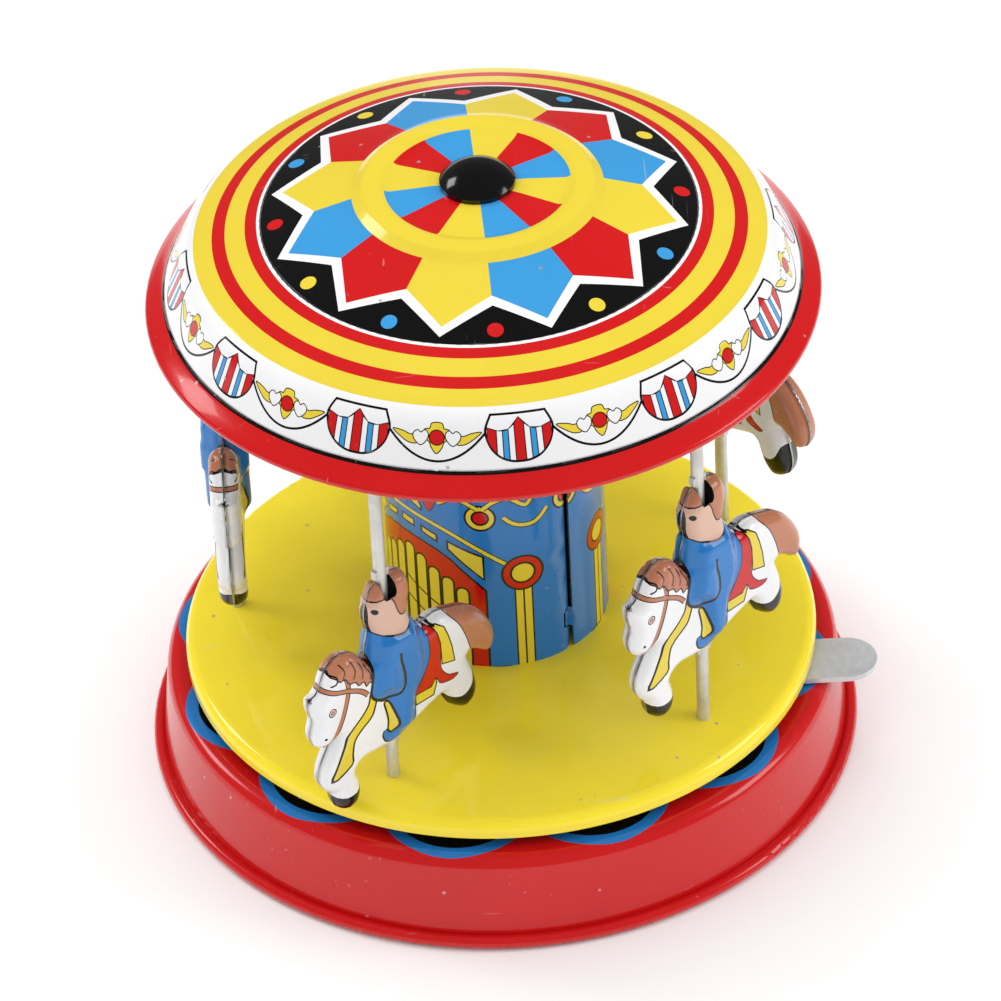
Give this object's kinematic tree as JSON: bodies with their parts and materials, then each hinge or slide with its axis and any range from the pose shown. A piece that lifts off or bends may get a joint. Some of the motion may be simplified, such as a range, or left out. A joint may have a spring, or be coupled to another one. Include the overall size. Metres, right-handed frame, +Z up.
{
  "type": "clockwork tin carousel toy",
  "caption": "Clockwork pressed-tin merry-go-round: domed canopy, printed centre column, turning platform with horse riders on poles, drum base and side winding lever.",
  "frame": {"origin": "On the rest plane, on the spindle axis", "axes": "+Z up along the spindle; +X towards the side the winding lever sticks out of; -Y is the front"},
  "size_m": [0.1268, 0.124, 0.1186],
  "materials": {
    "red_enamel": "glossy lithographed tin",
    "yellow_enamel": "glossy lithographed tin",
    "column_print": "glossy lithographed tin",
    "canopy_print": "glossy lithographed tin",
    "rider_print": "glossy lithographed tin",
    "black_gloss": "glossy",
    "plain_tin": "bright tinplate",
    "pole_tin": "drawn wire",
    "steel": "bright steel",
    "brass": "turned",
    "spring_steel": "blued spring steel"
  },
  "bodies": {
    "base": {"base_shell": "red_enamel", "bottom_plate": "plain_tin", "bottom_plate_screws": "steel", "bottom_standoffs": "steel", "movement_pillars": "steel", "movement_lower_plate": "plain_tin", "movement_upper_plate": "plain_tin", "spindle_upper_bush": "brass", "spindle_lower_bush": "brass", "lever_washer": "brass", "mainspring": "spring_steel", "lever_return_spring": "spring_steel"},
    "carousel": {"main_spindle": "steel", "spindle_pinion": "brass", "governor_drive_wheel": "brass", "platform_hub": "steel", "platform_rivets": "steel", "platform": "yellow_enamel", "column": "column_print", "pole_top_disc": "plain_tin", "canopy_collar": "steel", "canopy": "canopy_print", "canopy_knob": "black_gloss", "pole_1": "pole_tin", "pole_2": "pole_tin", "pole_3": "pole_tin", "pole_4": "pole_tin", "pole_5": "pole_tin"},
    "transfer_shaft": {"transfer_arbor": "steel", "transfer_wheel": "brass", "transfer_pinion": "steel"},
    "spring_shaft": {"winding_arbor": "steel", "great_wheel": "brass", "ratchet_wheel": "steel", "click": "steel", "click_rivet": "brass", "clutch_spring": "spring_steel"},
    "winding_gear": {"winding_pinion": "brass"},
    "governor": {"governor_arbor": "steel", "governor_pinion": "steel", "governor_flywheel": "brass"},
    "lever": {"lever_arm": "plain_tin", "lever_shaft": "steel", "lever_sector": "plain_tin"},
    "rider_1": {"rider_1_left_half": "rider_print", "rider_1_right_half": "rider_print"},
    "rider_2": {"rider_2_left_half": "rider_print", "rider_2_right_half": "rider_print"},
    "rider_3": {"rider_3_left_half": "rider_print", "rider_3_right_half": "rider_print"},
    "rider_4": {"rider_4_left_half": "rider_print", "rider_4_right_half": "rider_print"},
    "rider_5": {"rider_5_left_half": "rider_print", "rider_5_right_half": "rider_print"}
  },
  "joints": [
    {"name": "carousel_spin", "type": "hinge", "parent": "base", "child": "carousel", "pos_m": [0, 0, 0.01], "axis": [0, 0, 1], "continuous": true},
    {"name": "transfer_shaft_turn", "type": "hinge", "parent": "base", "child": "transfer_shaft", "pos_m": [-0.00969, -0.01145, 0.01], "axis": [0, 0, 1], "continuous": true},
    {"name": "spring_shaft_turn", "type": "hinge", "parent": "base", "child": "spring_shaft", "pos_m": [0.00321, -0.024, 0.01], "axis": [0, 0, 1], "continuous": true, "deforming": ["mainspring"]},
    {"name": "governor_turn", "type": "hinge", "parent": "base", "child": "governor", "pos_m": [0, 0.015, 0.01], "axis": [0, 0, 1], "continuous": true},
    {"name": "lever_swing", "type": "hinge", "parent": "base", "child": "lever", "pos_m": [0.024, -0.012, 0.01], "axis": [0, 0, 1], "range_deg": [-50, 0], "stiffness_Nm_per_rad": 0.004, "springref_deg": 5.73, "deforming": ["lever_return_spring"]},
    {"name": "winding_gear_turn", "type": "hinge", "parent": "base", "child": "winding_gear", "pos_m": [0.00321, -0.024, 0.01], "axis": [0, 0, 1], "range_deg": [0, 150]},
    {"name": "rider_1_swivel", "type": "hinge", "parent": "carousel", "child": "rider_1", "pos_m": [-0.01944, -0.04169, 0.0431], "axis": [0, 0, 1], "range_deg": [-45, 90]},
    {"name": "rider_2_swivel", "type": "hinge", "parent": "carousel", "child": "rider_2", "pos_m": [0.03364, -0.03137, 0.0511], "axis": [0, 0, 1], "continuous": true},
    {"name": "rider_3_swivel", "type": "hinge", "parent": "carousel", "child": "rider_3", "pos_m": [0.04023, 0.0223, 0.0556], "axis": [0, 0, 1], "continuous": true},
    {"name": "rider_4_swivel", "type": "hinge", "parent": "carousel", "child": "rider_4", "pos_m": [-0.00878, 0.04516, 0.0471], "axis": [0, 0, 1], "continuous": true},
    {"name": "rider_5_swivel", "type": "hinge", "parent": "carousel", "child": "rider_5", "pos_m": [-0.04566, 0.00561, 0.0526], "axis": [0, 0, 1], "continuous": true}
  ],
  "couplings": [
    {"joint": "transfer_shaft_turn", "follows": "carousel_spin", "ratio": -0.38889},
    {"joint": "spring_shaft_turn", "follows": "carousel_spin", "ratio": 0.097222},
    {"joint": "governor_turn", "follows": "carousel_spin", "ratio": -4},
    {"joint": "winding_gear_turn", "follows": "lever_swing", "ratio": -3}
  ]
}
